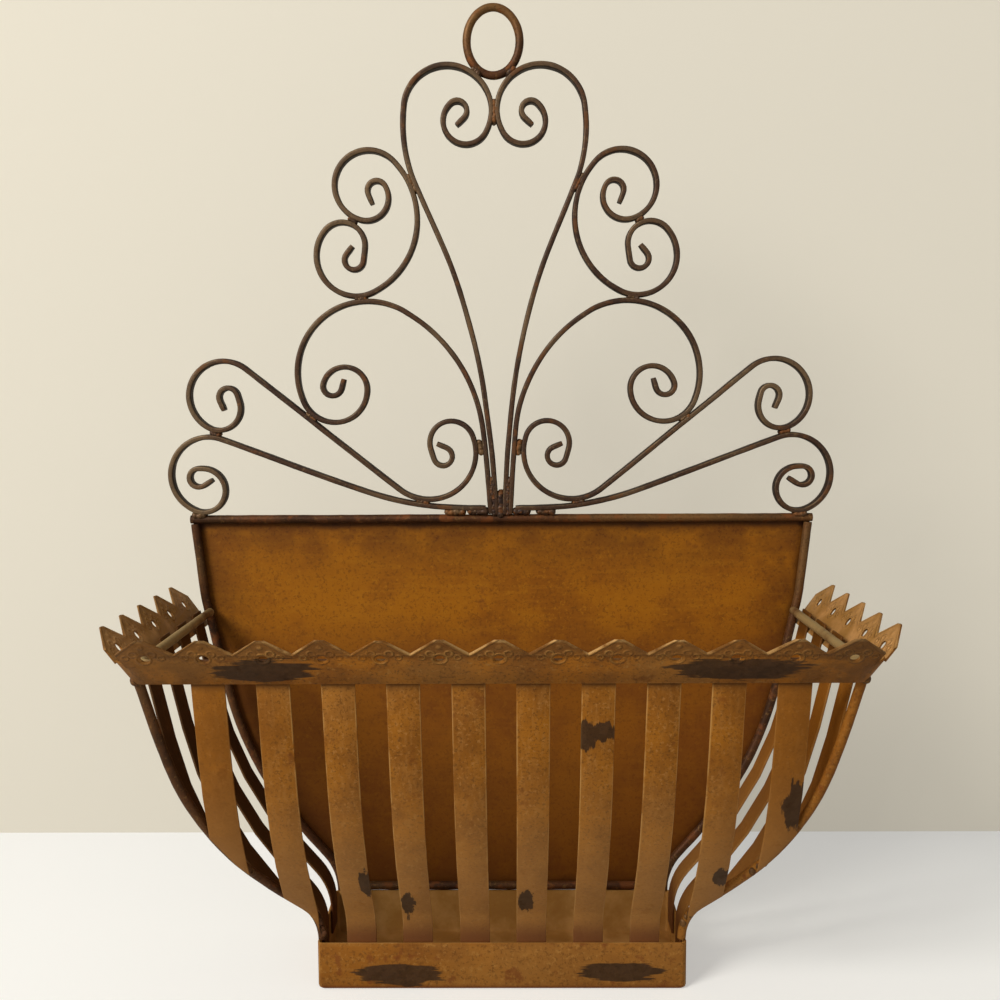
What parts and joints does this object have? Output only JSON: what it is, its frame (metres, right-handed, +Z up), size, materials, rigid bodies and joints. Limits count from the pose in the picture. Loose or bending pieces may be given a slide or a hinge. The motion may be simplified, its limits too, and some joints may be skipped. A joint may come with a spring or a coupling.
{
  "type": "wall planter",
  "caption": "Welded metal wall planter: a bowed slatted bowl with a toothed pierced gallery, a flat back, a tray foot and a scrolled crest with a hanging ring.",
  "frame": {"origin": "middle of the tray's underside, on the plane it stands on", "axes": "+Z up, +Y towards the wall behind the flat back, -Y towards the bowed front, +X to the viewer's right"},
  "size_m": [0.397, 0.1622, 0.5575],
  "materials": {
    "panel_sheet": "mottled bronze paint over sheet, satin",
    "slat_gold": "rubbed gold-bronze paint over strip, satin",
    "gallery_sheet": "pitted greyed bronze paint, satin",
    "tray_sheet": "rusted brown-orange bronze paint",
    "dark_rod": "dark brown paint with rust showing",
    "scroll_bar": "dark brown paint rubbed to gold and rust on the edges"
  },
  "bodies": {
    "root": {"back_panel": "panel_sheet", "top_rail": "dark_rod", "bottom_rail": "dark_rod", "base_tray": "tray_sheet", "rim_rod": "dark_rod", "gallery": "gallery_sheet", "hanging_ring": "dark_rod", "front_slat_1": "slat_gold", "front_slat_2": "slat_gold", "front_slat_3": "slat_gold", "front_slat_4": "slat_gold", "front_slat_5": "slat_gold", "front_slat_6": "slat_gold", "front_slat_7": "slat_gold", "front_slat_8": "slat_gold", "front_slat_9": "slat_gold", "front_slat_10": "slat_gold", "side_rod_left": "dark_rod", "corner_rod_left": "dark_rod", "side_slat_left_1": "slat_gold", "side_slat_left_2": "slat_gold", "side_slat_left_3": "slat_gold", "side_slat_left_4": "slat_gold", "heart_scroll_left": "scroll_bar", "shoulder_scroll_left": "scroll_bar", "fan_scroll_left": "scroll_bar", "upper_wing_left": "scroll_bar", "lower_wing_left": "scroll_bar", "side_rod_right": "dark_rod", "corner_rod_right": "dark_rod", "side_slat_right_1": "slat_gold", "side_slat_right_2": "slat_gold", "side_slat_right_3": "slat_gold", "side_slat_right_4": "slat_gold", "heart_scroll_right": "scroll_bar", "shoulder_scroll_right": "scroll_bar", "fan_scroll_right": "scroll_bar", "upper_wing_right": "scroll_bar", "lower_wing_right": "scroll_bar"}
  },
  "joints": []
}
